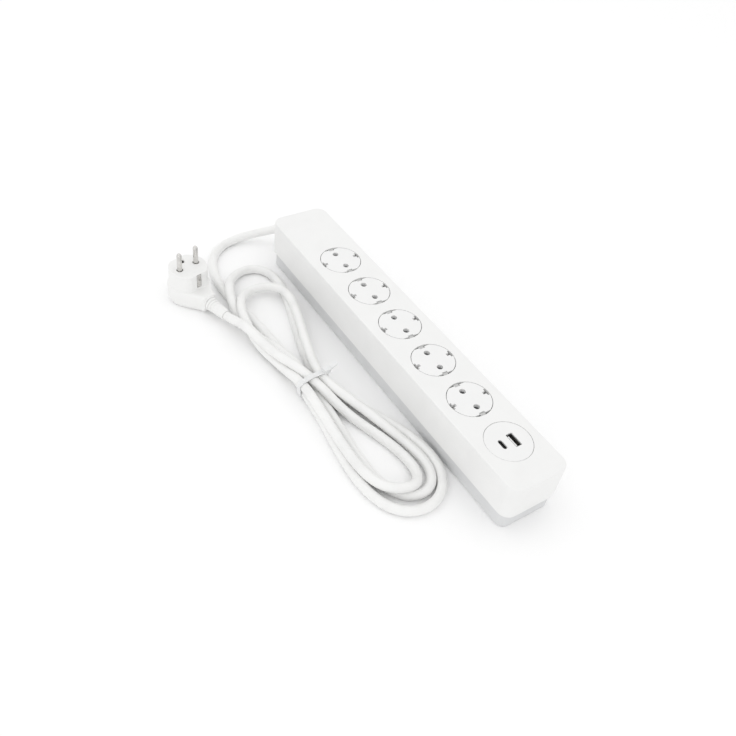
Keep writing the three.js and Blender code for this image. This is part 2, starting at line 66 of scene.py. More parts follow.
# the ports' middles from the insert's middle, their sizes, and where the tongue stands across them
USB_A = dict(x=0.9, y=4.6, length=13, width=5.6, corner=0.5, tongue=3.35)
USB_C = dict(x=0.5, y=-6.8, length=9.1, width=3.3, corner=1.64, tongue=-6.8)
SCREWS = [(x, y) for x in (-178, -29, 174) for y in (-18, 18)]
CLAMP = (-178, -170, -11, 11)  # from and to along the strip, and from and to across it
LEAD = 8.6
FLOOR = LEAD / 2 + 0.1  # the middle of a lead that lies on the floor
EXIT = (-0.1903, 0, 0.0275)  # in metres, where the lead comes out of the end wall
EXIT_HEIGHT = 27.5
RELIEF_LENGTH = 27
TIE = np.array([-8.0, -84.0])
TIE_TURN = math.radians(6)
PLUG = dict(
    x=-173.7, y=-126.4, turn=math.radians(15), height=36, grip=19, radius=18.4, flat=16.3,
    outlet=10.5, earth_x=-10,
)

# ---------------------------------------------------------------- camera


def make_camera():
    """Above the USB end and the lead's side, with the strip running away to the upper left."""
    right, down = Vector((0.5407, 0.8330, 0.1178)), Vector((0.6378, -0.3146, -0.7030))
    ahead = right.cross(down)
    axes = Matrix((right.normalized(), -down.normalized(), -ahead.normalized())).transposed()
    data = bpy.data.cameras.new("photo_camera")
    data.lens, data.sensor_width, data.clip_start = 38.78, 36, 0.02
    camera = bpy.data.objects.new("photo_camera", data)
    camera.matrix_world = Matrix.Translation((0.3918, -0.3564, 0.5146)) @ axes.to_4x4()
    scene.collection.objects.link(camera)
    scene.camera = camera


# ---------------------------------------------------------------- the lead's route

# The same points as the part's relief and tail, in metres, and then the first pass to the tie.
TAIL = [
    EXIT, (-0.194, 0, 0.0275), (-0.2005, -0.002, 0.0252), (-0.207, -0.006, 0.0203),
    (-0.2133, -0.0116, 0.0142), (-0.2194, -0.0176, 0.0084), (-0.225, -0.0255, 0.005),
    (-0.2295, -0.035, 0.0044), (-0.232, -0.047, 0.0044), (-0.230, -0.0605, 0.0044),
    (-0.223, -0.0735, 0.0044), (-0.2115, -0.084, 0.0044), (-0.196, -0.091, 0.0044),
    (-0.180, -0.0945, 0.0044), (-0.165, -0.0957, 0.0044), (-0.150, -0.0957, 0.0044),
    (-0.120, -0.0915, 0.0044), (-0.084, -0.0885, 0.0044), (-0.045, -0.0885, 0.0044),
]
# Each turn of the hank: reach, swell, drift, two fullness powers, heading in degrees, and the places
# across the tie where it leaves and comes back.
LOWER_TURNS = [
    (154, -32.5, -5, 0.35, 1.03, 9.5, -9, 9),
    (142.5, -26, -1, 0.5, 1.05, 8.5, 0, 9),
    (136, -22, 5, 0.4, 1.0, 5.5, -9, 0),
]
UPPER_TURNS = [(174, 28.5, 22, 0.3, 0.95, 181, 9, 0), (141, 24, 12, 0.3, 0.88, 177.5, 9, -9)]
# From the tie to the plug's boot, in millimetres.
TO_PLUG = [(-26, -90), (-50, -97), (-75, -102.5), (-97, -106.3), (-110, -109.3), (-121.2, -112.3)]


def across_tie(offset):
    """A place in the tie, counted across the bundle from its middle."""
    return TIE + offset * np.array([-math.sin(TIE_TURN), math.cos(TIE_TURN)])


def hank_turn(reach, swell, drift, fullness, sharpness, heading, leave, back, steps=14):
    """One turn out from the tie and back to it."""
    angle = math.radians(heading)
    out = np.array([math.cos(angle), math.sin(angle)])
    side = np.array([-out[1], out[0]]) * (1 if out[0] > 0 else -1)
    points = []
    for step in range(1, steps):
        u = step / steps
        rise = math.sin(math.pi * u)
        shift = leave * (1 - u) + back * u
        shift += swell * math.sin(2 * math.pi * u) * rise**fullness + drift * rise**2
        points.append(TIE + reach * rise**sharpness * out + shift * side)
    return points + [across_tie(back)]


def smooth_line(points, step, fine=0.5):
    """A centripetal curve through the points, resampled to even steps."""
    points = np.array(points, float)
    padded = np.vstack([2 * points[0] - points[1], points, 2 * points[-1] - points[-2]])
    line = []
    for i in range(1, len(padded) - 2):
        corners = padded[i - 1 : i + 3]
        chords = np.linalg.norm(np.diff(corners, axis=0), axis=1)
        t = np.concatenate([[0], np.cumsum(np.sqrt(chords) + 1e-6)])
        count = max(2, int(np.linalg.norm(corners[2] - corners[1]) / fine))
        for u in np.linspace(t[1], t[2], count, endpoint=False):
            level = list(corners)
            for span in (1, 2):
                ends = [(t[k], t[k + span]) for k in range(4 - span)]
                level = [
                    ((b - u) * level[k] + (u - a) * level[k + 1]) / (b - a)
                    for k, (a, b) in enumerate(ends)
                ]
            line.append(((t[2] - u) * level[0] + (u - t[1]) * level[1]) / (t[2] - t[1]))
    line.append(points[-1])
    line = np.array(line)
    run = distance_along(line)
    places = np.linspace(0, run[-1], int(run[-1] / step) + 1)
    return np.stack([np.interp(places, run, line[:, k]) for k in range(line.shape[1])], 1)


def distance_along(line):
    """How far each point is from the first, along the line."""
    return np.concatenate([[0], np.cumsum(np.linalg.norm(np.diff(line, axis=0), axis=1))])


def gaussian(sigma):
    """A bell-shaped set of weights that add up to one, and how far it reaches."""
    reach = int(3 * sigma)
    kernel = np.exp(-0.5 * (np.arange(-reach, reach + 1) / sigma) ** 2)
    return reach, kernel / kernel.sum()


def blur(line, *sigmas):
    """Rounds off the line, by its own amount along each axis, and keeps its ends."""
    blurred = line.copy()
    for axis, sigma in enumerate(sigmas):
        reach, kernel = gaussian(sigma)
        padded = np.pad(line[:, axis], reach, mode="reflect", reflect_type="odd")
        blurred[:, axis] = np.convolve(padded, kernel, "valid")
    return blurred


def lay_heights(flat, ground, rounds=6, steepest=0.32, neighbours=16):
    """Each later stretch lies over the earlier ones, in long low humps."""
    run = distance_along(flat)
    gap = np.linalg.norm(flat[:, None] - flat[None], axis=2)
    contact = LEAD * 1.01
    lift = np.sqrt(np.maximum(contact**2 - gap**2, 0))
    slope = steepest * np.abs(run[:, None] - run[None])
    heights = ground.copy()
    for _ in range(rounds):
        heights = np.maximum(ground, (heights[None] - slope).max(1))
        for i in range(neighbours, len(flat)):
            earlier = i - neighbours
            near = gap[i, :earlier] < contact
            if near.any():
                heights[i] = max(heights[i], (heights[:earlier] + lift[i, :earlier])[near].max())
    reach, kernel = gaussian(2.5)
    return np.convolve(np.pad(heights, reach, mode="edge"), kernel, "valid")


def settle(line, ground, rounds=240):
    """Lets the stacked lead sink until its strands rest on each other and on the floor."""
    line = line.copy()
    first, home = line.copy(), line[:, :2].copy()
    run = distance_along(line)
    apart = np.abs(run[:, None] - run[None]) > 3 * LEAD
    close = np.linalg.norm(line[:, None] - line[None], axis=2) < LEAD * 2.6
    one, other = np.where(np.triu(apart & close, 1))
    contact = LEAD * 1.004
    held = run < RELIEF_LENGTH + 1
    for turn in range(rounds):
        # the lead sinks, its own stiffness evens it out, and it keeps close to where it was laid
        line[:, 2] -= 0.1 * (1 - turn / rounds) + 0.02
        z = line[:, 2]
        z[4:-4] += 0.15 * ((z[:-8] + z[8:]) / 2 - z[4:-4])
        off = line[:, :2] - home
        off[5:-5] += 0.4 * ((off[:-10] + off[10:]) / 2 - off[5:-5])
        line[:, :2] = home + off * 0.97
        for _ in range(3):
            between = line[one] - line[other]
            far = np.linalg.norm(between, axis=1)
            hit = far < contact
            if not hit.any():
                break
            push = between[hit] / far[hit, None] * ((contact - far[hit]) * 0.3)[:, None]
            np.add.at(line, one[hit], push)
            np.add.at(line, other[hit], -push)
            line[:, 2] = np.maximum(line[:, 2], ground)
        line[held] = first[held]
        line[-3:, :2], line[-3:, 2] = home[-3:], ground[-3:]
    return line


def lead_route():
    """The lead's centreline in millimetres, from the wall of the strip to the plug's relief."""
    tail = np.array(TAIL) / MM
    places = [p[:2] for p in tail] + [across_tie(-9)]
    for k, turn in enumerate(LOWER_TURNS):
        places += hank_turn(*turn)
        if k < len(UPPER_TURNS):
            places += hank_turn(*UPPER_TURNS[k])
    flat = smooth_line(places + [np.array(p, float) for p in TO_PLUG], 2.0)
    ground = ground_under(flat, tail)
    stacked = np.column_stack([flat, lay_heights(flat, ground)])
    return blur(settle(stacked, ground), 4.2, 4.2, 2.2)


def ground_under(flat, tail):
    """The lowest that the lead's middle may be: the floor, the tie's band, and the ways down and up."""
    run = distance_along(flat)
    down = tail[:9]  # the points from the wall to the floor, and a little of the floor
    falling = np.interp(run, distance_along(down[:, :2]), down[:, 2])
    ground = np.where(run < 75, falling, FLOOR)
    near_tie = np.linalg.norm(flat - TIE, axis=1) < 14
    ground = np.where(near_tie, FLOOR + 1.4, ground)
    left = run[-1] - run
    rise = (PLUG["outlet"] - FLOOR) * np.clip(1.15 - left / 30, 0, 1)
    return np.maximum(ground, np.where(left < 40, FLOOR + rise, 0))


# ---------------------------------------------------------------- mesh making


def new_object(name, mesh, *materials):
    """Puts a mesh in the scene under a name, with its materials."""
    for material in materials:
        mesh.materials.append(material)
    piece = bpy.data.objects.new(name, mesh)
    scene.collection.objects.link(piece)
    return piece


def join_rings(builder, rings, closed=False, material=0):
    """Joins equal rings of points, in millimetres and in order, into a skin, and returns their vertices."""
    loops = [[builder.verts.new(Vector(p) * MM) for p in ring] for ring in rings]
    pairs = list(zip(loops, loops[1:])) + ([(loops[-1], loops[0])] if closed else [])
    for low, high in pairs:
        for k in range(len(low)):
            n = (k + 1) % len(low)
            builder.faces.new((low[k], low[n], high[n], high[k])).material_index = material
    return loops


def bridge(builder, rings, closed=False, material=0):
    """A skin whose ends are capped, unless its last ring joins its first."""
    loops = join_rings(builder, rings, closed, material)
    if not closed:
        builder.faces.new(list(reversed(loops[0]))).material_index = material
        builder.faces.new(loops[-1]).material_index = material


def mesh_from(name, *skins, place=None):
    """Each skin is a list of rings, or such a list and a dict of what bridge should do with it."""
    builder = bmesh.new()
    for skin in skins:
        rings, options = skin if isinstance(skin, tuple) else (skin, {})
        bridge(builder, rings, **options)
    bmesh.ops.recalc_face_normals(builder, faces=builder.faces)
    if place is not None:
        builder.transform(place)
    mesh = bpy.data.meshes.new(name)
    builder.to_mesh(mesh)
    builder.free()
    return mesh


def bake(piece):
    """Applies the piece's modifiers to its mesh."""
    graph = bpy.context.evaluated_depsgraph_get()
    baked = bpy.data.meshes.new_from_object(piece.evaluated_get(graph))
    piece.modifiers.clear()
    piece.data = baked


def carve(piece, cutters, soften, angle):
    """Cuts the cutter meshes out of the piece, and then softens its sharp edges."""
    for mesh in cutters:
        tool = bpy.data.objects.new("cutter", mesh)
        scene.collection.objects.link(tool)
        cut = piece.modifiers.new("cut", "BOOLEAN")
        cut.operation, cut.solver, cut.object = "DIFFERENCE", "EXACT", tool
        bake(piece)
        bpy.data.objects.remove(tool)
    edge = piece.modifiers.new("soften", "BEVEL")
    edge.width, edge.segments, edge.limit_method = soften * MM, 3, "ANGLE"
    edge.angle_limit, edge.miter_outer = math.radians(angle), "MITER_ARC"
    bake(piece)
    return smooth(piece)


def smooth(piece, angle=32):
    """Shades the piece smoothly, apart from edges sharper than the angle."""
    mesh = piece.data
    mesh.polygons.foreach_set("use_smooth", [True] * len(mesh.polygons))
    mesh.set_sharp_from_angle(angle=math.radians(angle))
    weighted = piece.modifiers.new("even", "WEIGHTED_NORMAL")
    weighted.keep_sharp, weighted.weight = True, 80
    bake(piece)
    return piece


def hand_over(piece, body, slot, *replaced):
    """Says which body the piece rides on, and hides the nodes that it stands for. Its finish, the slot, is
    not used.
    """
    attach(piece, body)
    if replaced:
        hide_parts(*replaced)
    return piece


# ---------------------------------------------------------------- outlines


def circle(x, y, z, radius, sides=96):
    turns = [2 * math.pi * k / sides for k in range(sides)]
    return [(x + radius * math.cos(t), y + radius * math.sin(t), z) for t in turns]


def wall_ring(x, radius, sides=48):
    """An upright circle about the line on which the lead passes through the end wall."""
    return [(x, y, z) for y, z, _ in circle(0, EXIT_HEIGHT, 0, radius, sides)]


def rounded(x, y, z, length, width, radius, per=10):
    """A rectangle with round corners, as a ring of four corners of the same number of points."""
    ring = []
    for corner, (sx, sy) in enumerate([(1, 1), (-1, 1), (-1, -1), (1, -1)]):
        for k in range(per + 1):
            turn = math.pi / 2 * (corner + k / per)
            px = x + sx * (length / 2 - radius) + radius * math.cos(turn)
            py = y + sy * (width / 2 - radius) + radius * math.sin(turn)
            ring.append((px, py, z))
    return ring


def fillet(edge, top, steps=5):
    """(inset, height) pairs that turn a wall into a flat top at that height."""
    for k in range(steps + 1):
        turn = math.pi / 2 * k / steps
        yield edge * (1 - math.cos(turn)), top - edge * (1 - math.sin(turn))


def soft_box(x0, x1, y0, y1, z0, z1, edge=0.3):
    """A block with rounded uprights and softened ends, as rings."""
    cx, cy, length, width = (x0 + x1) / 2, (y0 + y1) / 2, x1 - x0, y1 - y0
    radius = min(edge * 1.5, length / 2.2, width / 2.2)
    top = list(fillet(edge, z1, 3))
    bottom = [(inset, z0 + z1 - z) for inset, z in reversed(top)]
    rings = []
    for inset, z in bottom + top:
        corner = max(radius - inset, 0.05)
        rings.append(rounded(cx, cy, z, length - 2 * inset, width - 2 * inset, corner, 3))
    return rings


def rectangle(x, y, z):
    """A ring with square corners, reaching x and y to both sides of the middle."""
    return [(-x, -y, z), (x, -y, z), (x, y, z), (-x, y, z)]


def disc_cutter(x, y, radius, z0, z1, sides=96):
    return mesh_from("cutter", [circle(x, y, z, radius, sides) for z in (z0, z1)])


def turned(profile, x, y, sides):
    """Rings of a shape turned about an upright axis, from (radius, height) pairs."""
    return [circle(x, y, z, max(radius, 0.01), sides) for radius, z in profile]


def rings_along(line, radii, sides):
    """Rings of the given radii about the points of a line."""
    line = np.array(line, float)
    ahead = np.gradient(line, axis=0)
    ahead /= np.linalg.norm(ahead, axis=1)[:, None]
    up = np.cross(np.cross(ahead[0], (0, 0, 1.0)), ahead[0])
    rings = []
    for centre, direction, radius in zip(line, ahead, radii):
        up = up - direction * up.dot(direction)
        up /= np.linalg.norm(up)
        side = np.cross(direction, up)
        turns = [2 * math.pi * k / sides for k in range(sides)]
        rings.append([tuple(centre + radius * (math.cos(t) * up + math.sin(t) * side)) for t in turns])
    return rings


# ---------------------------------------------------------------- materials


def material_base(name):
    """A new material, its nodes, its shader, and coordinates that stay with the piece."""
    material = bpy.data.materials.new(name)
    material.use_nodes = True
    tree = material.node_tree
    shader = tree.nodes["Principled BSDF"]
    coords = tree.nodes.new("ShaderNodeTexCoord")
    return material, tree, shader, coords.outputs["Object"]


def noise(tree, coords, scale, detail=4, roughness=0.55, stretch=None):
    if stretch:
        mapping = tree.nodes.new("ShaderNodeMapping")
        mapping.inputs["Scale"].default_value = stretch
        tree.links.new(coords, mapping.inputs["Vector"])
        coords = mapping.outputs["Vector"]
    node = tree.nodes.new("ShaderNodeTexNoise")
    node.inputs["Scale"].default_value, node.inputs["Detail"].default_value = scale, detail
    node.inputs["Roughness"].default_value = roughness
    tree.links.new(coords, node.inputs["Vector"])
    return node.outputs["Fac"]


def ramp(tree, value, stops):
    """Colours for a value, from (position, colour) pairs in rising order."""
    node = tree.nodes.new("ShaderNodeValToRGB")
    ends = node.color_ramp.elements
    for element, (position, color) in zip((ends[0], ends[1]), (stops[0], stops[-1])):
        element.position, element.color = position, (*color, 1)
    for position, color in stops[1:-1]:
        ends.new(position).color = (*color, 1)
    tree.links.new(value, node.inputs["Fac"])
    return node.outputs["Color"]


def spread(tree, value, low, high):
    """Stretches the middle half of a noise value to run from low to high."""
    node = tree.nodes.new("ShaderNodeMapRange")
    node.inputs["From Min"].default_value, node.inputs["From Max"].default_value = 0.25, 0.75
    node.inputs["To Min"].default_value, node.inputs["To Max"].default_value = low, high
    tree.links.new(value, node.inputs["Value"])
    return node.outputs["Result"]


def bump(tree, shader, *layers):
    """Layers of (height, distance in millimetres, strength), one on top of the other."""
    normal = None
    for height, distance, strength in layers:
        node = tree.nodes.new("ShaderNodeBump")
        node.inputs["Distance"].default_value = distance * MM
        node.inputs["Strength"].default_value = strength
        tree.links.new(height, node.inputs["Height"])
        if normal is not None:
            tree.links.new(normal, node.inputs["Normal"])
        normal = node.outputs["Normal"]
    tree.links.new(normal, shader.inputs["Normal"])


def shade(color, amount):
    """The colour made darker or lighter."""
    return tuple(min(c * amount, 1) for c in color)


def moulded(name, color, rough, grain, depth, mottle):
    """Moulded plastic: a fine spark-eroded grain, faint flow mottling, and a few polished rub marks."""
    material, tree, shader, coords = material_base(name)
    broad, fine = noise(tree, coords, 38, 5), noise(tree, coords, grain, 3, 0.65)
    rubs = noise(tree, coords, 60, 6, 0.7, stretch=(0.25, 3.0, 3.0))
    stops = [(0.3, shade(color, 1 - mottle)), (0.55, color), (0.75, shade(color, 1 + mottle * 0.6))]
    tree.links.new(ramp(tree, broad, stops), shader.inputs["Base Color"])
    tree.links.new(spread(tree, rubs, rough - 0.07, rough + 0.07), shader.inputs["Roughness"])
    shader.inputs["Specular IOR Level"].default_value = 0.45
    bump(tree, shader, (broad, 0.05, 0.12), (rubs, 0.01, 0.15), (fine, depth, 0.35))
    return material


def cable_jacket(name, color):
    """Soft extruded sheath: a fine grain, a faint waxy bloom and light handling marks."""
    material, tree, shader, coords = material_base(name)
    broad, fine = noise(tree, coords, 55, 5), noise(tree, coords, 1900, 4, 0.6)
    stops = [(0.28, shade(color, 0.94)), (0.5, color), (0.8, shade(color, 1.03))]
    tree.links.new(ramp(tree, broad, stops), shader.inputs["Base Color"])
    tree.links.new(spread(tree, fine, 0.34, 0.5), shader.inputs["Roughness"])
    shader.inputs["Subsurface Weight"].default_value = 0.08
    shader.inputs["Subsurface Scale"].default_value = 0.002
    shader.inputs["Subsurface Radius"].default_value = (1, 1, 1)
    bump(tree, shader, (broad, 0.12, 0.2), (fine, 0.02, 0.35))
    return material


def metal(name, color, rough, brush):
    """Rolled or drawn metal with fine brush lines, and duller patches where it has been handled."""
    material, tree, shader, coords = material_base(name)
    lines, patches = noise(tree, coords, 420, 5, 0.6, stretch=brush), noise(tree, coords, 120, 4)
    shader.inputs["Metallic"].default_value = 1.0
    stops = [(0.3, shade(color, 0.82)), (0.55, color), (0.75, shade(color, 1.08))]
    tree.links.new(ramp(tree, patches, stops), shader.inputs["Base Color"])
    tree.links.new(spread(tree, lines, rough - 0.07, rough + 0.12), shader.inputs["Roughness"])
    bump(tree, shader, (patches, 0.02, 0.1), (lines, 0.006, 0.3))
    return material


def clear_nylon(name):
    """The cable tie: milky, part see-through nylon with flow haze."""
    material, tree, shader, coords = material_base(name)
    haze, fine = noise(tree, coords, 260, 4), noise(tree, coords, 1500, 3)
    stops = [(0.3, (0.9, 0.91, 0.91)), (0.7, (0.97, 0.97, 0.97))]
    tree.links.new(ramp(tree, haze, stops), shader.inputs["Base Color"])
    tree.links.new(spread(tree, fine, 0.26, 0.42), shader.inputs["Roughness"])
    shader.inputs["Transmission Weight"].default_value = 0.2
    shader.inputs["IOR"].default_value = 1.5
    bump(tree, shader, (haze, 0.03, 0.2), (fine, 0.01, 0.25))
    return material


def circuit_board(name):
    """Green solder mask over copper tracks."""
    material, tree, shader, coords = material_base(name)
    tracks = tree.nodes.new("ShaderNodeTexBrick")
    tracks.inputs["Scale"].default_value = 260
    tracks.inputs["Mortar Size"].default_value = 0.035
    tracks.inputs["Color1"].default_value = (0.015, 0.11, 0.035, 1)
    tracks.inputs["Color2"].default_value = (0.02, 0.14, 0.045, 1)
    tracks.inputs["Mortar"].default_value = (0.05, 0.24, 0.08, 1)
    tree.links.new(coords, tracks.inputs["Vector"])
    tree.links.new(tracks.outputs["Color"], shader.inputs["Base Color"])
    fine = noise(tree, coords, 900, 3)
    tree.links.new(spread(tree, fine, 0.3, 0.45), shader.inputs["Roughness"])
    bump(tree, shader, (tracks.outputs["Fac"], 0.04, 0.4), (fine, 0.01, 0.3))
    return material


def wrapped_coil(name):
    """Yellow tape round the transformer's winding, with its lapped edges."""
    material, tree, shader, coords = material_base(name)
    laps = tree.nodes.new("ShaderNodeTexWave")
    laps.bands_direction = "Z"
    laps.inputs["Scale"].default_value, laps.inputs["Distortion"].default_value = 90, 0.6
    tree.links.new(coords, laps.inputs["Vector"])
    stops = [(0.1, (0.52, 0.4, 0.06)), (0.8, (0.78, 0.62, 0.12))]
    tree.links.new(ramp(tree, laps.outputs["Fac"], stops), shader.inputs["Base Color"])
    fine = noise(tree, coords, 700, 4)
    tree.links.new(spread(tree, fine, 0.32, 0.5), shader.inputs["Roughness"])
    bump(tree, shader, (laps.outputs["Fac"], 0.08, 0.4), (fine, 0.02, 0.3))
    return material


def striped_wire(name, color, stripe=None):
    """Insulated core, with a second colour wound along it for earth."""
    material, tree, shader, coords = material_base(name)
    fine = noise(tree, coords, 1400, 3)
    if stripe:
        wave = tree.nodes.new("ShaderNodeTexWave")
        wave.bands_direction = "DIAGONAL"
        wave.inputs["Scale"].default_value = 120
        tree.links.new(coords, wave.inputs["Vector"])
        paint = ramp(tree, wave.outputs["Fac"], [(0.45, color), (0.55, stripe)])
    else:
        paint = ramp(tree, fine, [(0.3, shade(color, 0.88)), (0.7, shade(color, 1.06))])
    tree.links.new(paint, shader.inputs["Base Color"])
    tree.links.new(spread(tree, fine, 0.35, 0.5), shader.inputs["Roughness"])
    bump(tree, shader, (fine, 0.02, 0.3))
    return material


def make_materials():
    """Every material, by the name that the makers below use."""
    return dict(
        shell=moulded("white_shell", (0.85, 0.85, 0.843), 0.36, 2300, 0.02, 0.02),
        face=moulded("white_face", (0.85, 0.85, 0.846), 0.38, 2600, 0.018, 0.02),
        insert=moulded("white_insert", (0.85, 0.85, 0.846), 0.36, 2600, 0.018, 0.02),
        # the wells are painted mid grey: painted shade for the dark gap round each face
        well=moulded("painted_shade_well", (0.55, 0.55, 0.545), 0.5, 1800, 0.02, 0.04),
        base=moulded("grey_base", (0.7, 0.705, 0.71), 0.5, 1700, 0.03, 0.05),
        shutter=moulded("grey_shutter", (0.11, 0.112, 0.115), 0.48, 1900, 0.02, 0.05),
        black=moulded("black_plastic", (0.012, 0.012, 0.013), 0.5, 1900, 0.02, 0.05),
        plug=moulded("plug_white", (0.86, 0.86, 0.85), 0.4, 1700, 0.03, 0.03),
        lead=cable_jacket("white_cord", (0.86, 0.86, 0.85)),
        tie=clear_nylon("clear_tie"),
        brass=metal("brass", (0.78, 0.58, 0.28), 0.3, (14, 1, 1)),
        nickel=metal("nickel", (0.72, 0.71, 0.69), 0.2, (1, 1, 14)),
        # the port shells are painted dark grey metal: painted shade for the inside of each opening
        shield=metal("shaded_port_metal", (0.3, 0.3, 0.3), 0.35, (1, 1, 10)),
        steel=metal("steel", (0.56, 0.57, 0.58), 0.3, (6, 6, 1)),
        gold=metal("gold_contact", (0.83, 0.62, 0.25), 0.22, (1, 1, 12)),
        board=circuit_board("circuit_board"),
        coil=wrapped_coil("transformer"),
        brown=striped_wire("brown_wire", (0.14, 0.05, 0.02)),
        blue=striped_wire("blue_wire", (0.03, 0.12, 0.42)),
        earth=striped_wire("earth_wire", (0.6, 0.55, 0.03), (0.04, 0.3, 0.06)),
    )


# ---------------------------------------------------------------- the case


def case_ring(inset, z, corner=STRIP["corner"]):
    """The case's outline drawn in by the inset."""
    radius = max(corner - inset, 0.4)
    return rounded(0, 0, z, STRIP["length"] - 2 * inset, STRIP["width"] - 2 * inset, radius, 12)


def make_housing(look):
    """The white cover: one thin shell with a softened top edge, open below, with screw posts inside."""
    top, wall, skirt = STRIP["height"], STRIP["wall"], STRIP["skirt"]
    inner = [case_ring(wall, z) for z in (top - STRIP["roof"], skirt + 0.3)]
    lip = [case_ring(wall - 0.3, skirt), case_ring(0.3, skirt)]
    outer = [case_ring(0, skirt + 0.3), case_ring(0, 30)]
    outer += [case_ring(inset, z) for inset, z in fillet(STRIP["edge"], top)]
    shell = new_object("housing_visual", mesh_from("housing", inner + lip + outer), look["shell"])
    cutters = [disc_cutter(x, 0, FACE["radius"] + 0.5, top - 4, top + 2) for x in SOCKET_X]
    cutters.append(disc_cutter(USB_X, 0, USB_RADIUS + 0.2, top - 4, top + 2))
    cutters.append(mesh_from("cutter", [wall_ring(x, 6.6) for x in (-192, -185)]))
    carve(shell, cutters, soften=0.35, angle=40)
    post = [(1.6, 20), (1.6, 5.6), (2, 5.3), (3.3, 5.3), (3.6, 5.7), (3.6, 50)]
    posts = [turned(post, x, y, 32) for x, y in SCREWS]
    inside = new_object("screw_posts", mesh_from("posts", *posts), look["shell"])
    smooth(inside)
    inside.parent = shell
    return hand_over(shell, "strip", "white_shell", "top_housing")


def base_skin():
    """The tray's rings, from its rounded foot up the outside and down again to its floor."""
    inset, wall, top, foot = BASE["inset"], BASE["wall"], BASE["top"], BASE["foot"]
    levels = [(inset + i, foot - z) for i, z in reversed(list(fillet(foot, foot)))]
    levels += [(inset, 8), (inset, top - 0.3), (inset + 0.3, top)]
    levels += [(inset + wall, top), (inset + wall, BASE["floor"])]
    return [case_ring(i, z, BASE["corner"]) for i, z in levels]


def make_base(look):
    """The grey tray: recessed below the cover, with screw bosses, bar supports and the lead's saddle."""
    base = new_object("base_visual", mesh_from("base", base_skin()), look["base"])
    cutters = [disc_cutter(x, y, 3.2, -1, 2.0, 48) for x, y in SCREWS]
    cutters += [disc_cutter(x, y, 1.6, 1, 4, 24) for x, y in SCREWS]
    cutters.append(mesh_from("cutter", [rounded(40, 0, z, 96, 30, 2.5) for z in (-1, 0.35)]))
    carve(base, cutters, soften=0.2, angle=40)
    root = BASE["floor"] - 0.2
    boss = [(1.7, 2.4), (1.7, 5), (4.9, 5), (5.2, 4.7), (5.2, 2.4)]
    ribs = [turned(boss, x, y, 40) for x, y in SCREWS]
    for x in SOCKET_X:
        middle = x + PITCH / 2
        for near, far, height in ((7, 12, 8.7), (-12, -7, 8.7), (-3, 3, 4.7)):
            ribs.append(soft_box(middle - 1, middle + 1, near, far, root, height))
    inside = new_object("base_ribs", mesh_from("ribs", *ribs), look["base"])
    smooth(inside)
    saddle_mesh = mesh_from("saddle", soft_box(*CLAMP, root, EXIT_HEIGHT - 0.2, 0.5))
    saddle = new_object("base_saddle", saddle_mesh, look["base"])
    carve(saddle, [lead_groove()], soften=0.25, angle=40)
    for piece in (inside, saddle):
        piece.parent = base
    return hand_over(base, "strip", "grey_base", "base_plate")


def lead_groove():
    """The round groove that grips the lead inside the case."""
    return mesh_from("cutter", [wall_ring(x, 4.6) for x in (-182, -166)])


def make_clamp(look):
    """The bar that holds the lead down in the saddle."""
    block = mesh_from("clamp", soft_box(*CLAMP, EXIT_HEIGHT + 0.2, 35.5, 0.6))
    clamp = new_object("clamp_visual", block, look["shell"])
    carve(clamp, [lead_groove()], soften=0.25, angle=40)
    return hand_over(clamp, "strip", "white_shell", "cord_clamp")


def make_screws(look):
    """Pan-head screws with a cross recess, seen in the counterbores underneath."""
    head = [(0.01, 0.7), (2.2, 0.7), (2.7, 0.95), (2.9, 1.4), (2.9, 2.0), (2.7, 2.2), (1.25, 2.2)]
    thread = [point for z in range(15) for point in ((1.05, 2.8 + z), (1.3, 3.3 + z))]
    profile = head + thread + [(0.9, 17.6), (0.01, 18)]
    for k, (x, y) in enumerate(SCREWS):
        piece = new_object(f"screw_{k + 1}", mesh_from("screw", turned(profile, x, y, 28)), look["steel"])
        turn = Matrix.Translation(Vector((x, y, 0)) * MM) @ Matrix.Rotation(0.5 + 0.7 * k, 4, "Z")
        arms = []
        for reach_x, reach_y in ((1.9, 0.35), (0.35, 1.9)):
            rings = [rectangle(reach_x, reach_y, z) for z in (0.2, 1.7)]
            arms.append(mesh_from("cutter", rings, place=turn))
        carve(piece, arms, soften=0.06, angle=50)
        hand_over(piece, "strip", "steel", f"case_screw_{k + 1}")


# ---------------------------------------------------------------- sockets


def face_outline():
    """The face from above: a disc with flats and rib slots at its ends, and stepped notches at its sides."""
    radius, flat, cut = FACE["radius"], FACE["flat"], FACE_NOTCH
    start, end = math.acos(flat / radius), math.acos(cut["half"] / radius)
    quarter = [(cut["rib_end"], cut["rib_half"]), (flat, cut["rib_half"])]
    quarter += [(radius * math.cos(t), radius * math.sin(t)) for t in np.linspace(start, end, 26)]
    quarter += [(cut["half"], cut["step"]), (cut["slot_half"], cut["step"])]
    quarter.append((cut["slot_half"], cut["slot_end"]))
    half = quarter + [(-x, y) for x, y in reversed(quarter)]
    return half + [(-x, -y) for x, y in half]


def inset_outline(outline, amount):
    """Moves each corner of an anticlockwise outline inwards, square to both of its sides."""
    moved = []
    for k, corner in enumerate(outline):
        before, after = Vector(outline[k - 1]), Vector(outline[(k + 1) % len(outline)])
        here = Vector(corner)
        first, second = (here - before).normalized(), (after - here).normalized()
        inward, next_inward = Vector((-first.y, first.x)), Vector((-second.y, second.x))
        middle = (inward + next_inward).normalized()
        moved.append(tuple(here + middle * (amount / max(middle.dot(inward), 0.3))))
    return moved


def add_rings(builder, rings):
    """A skin with open ends. Returns the edges of its first ring and of its last."""
    loops = join_rings(builder, rings)
    return [
        [builder.edges.get((ring[k], ring[(k + 1) % len(ring)])) for k in range(len(ring))]
        for ring in (loops[0], loops[-1])
    ]


def fill_between(builder, *edge_rings):
    """Fills the flat area inside the first ring of edges and outside the others."""
    bmesh.ops.triangle_fill(builder, use_beauty=True, edges=[e for ring in edge_rings for e in ring])


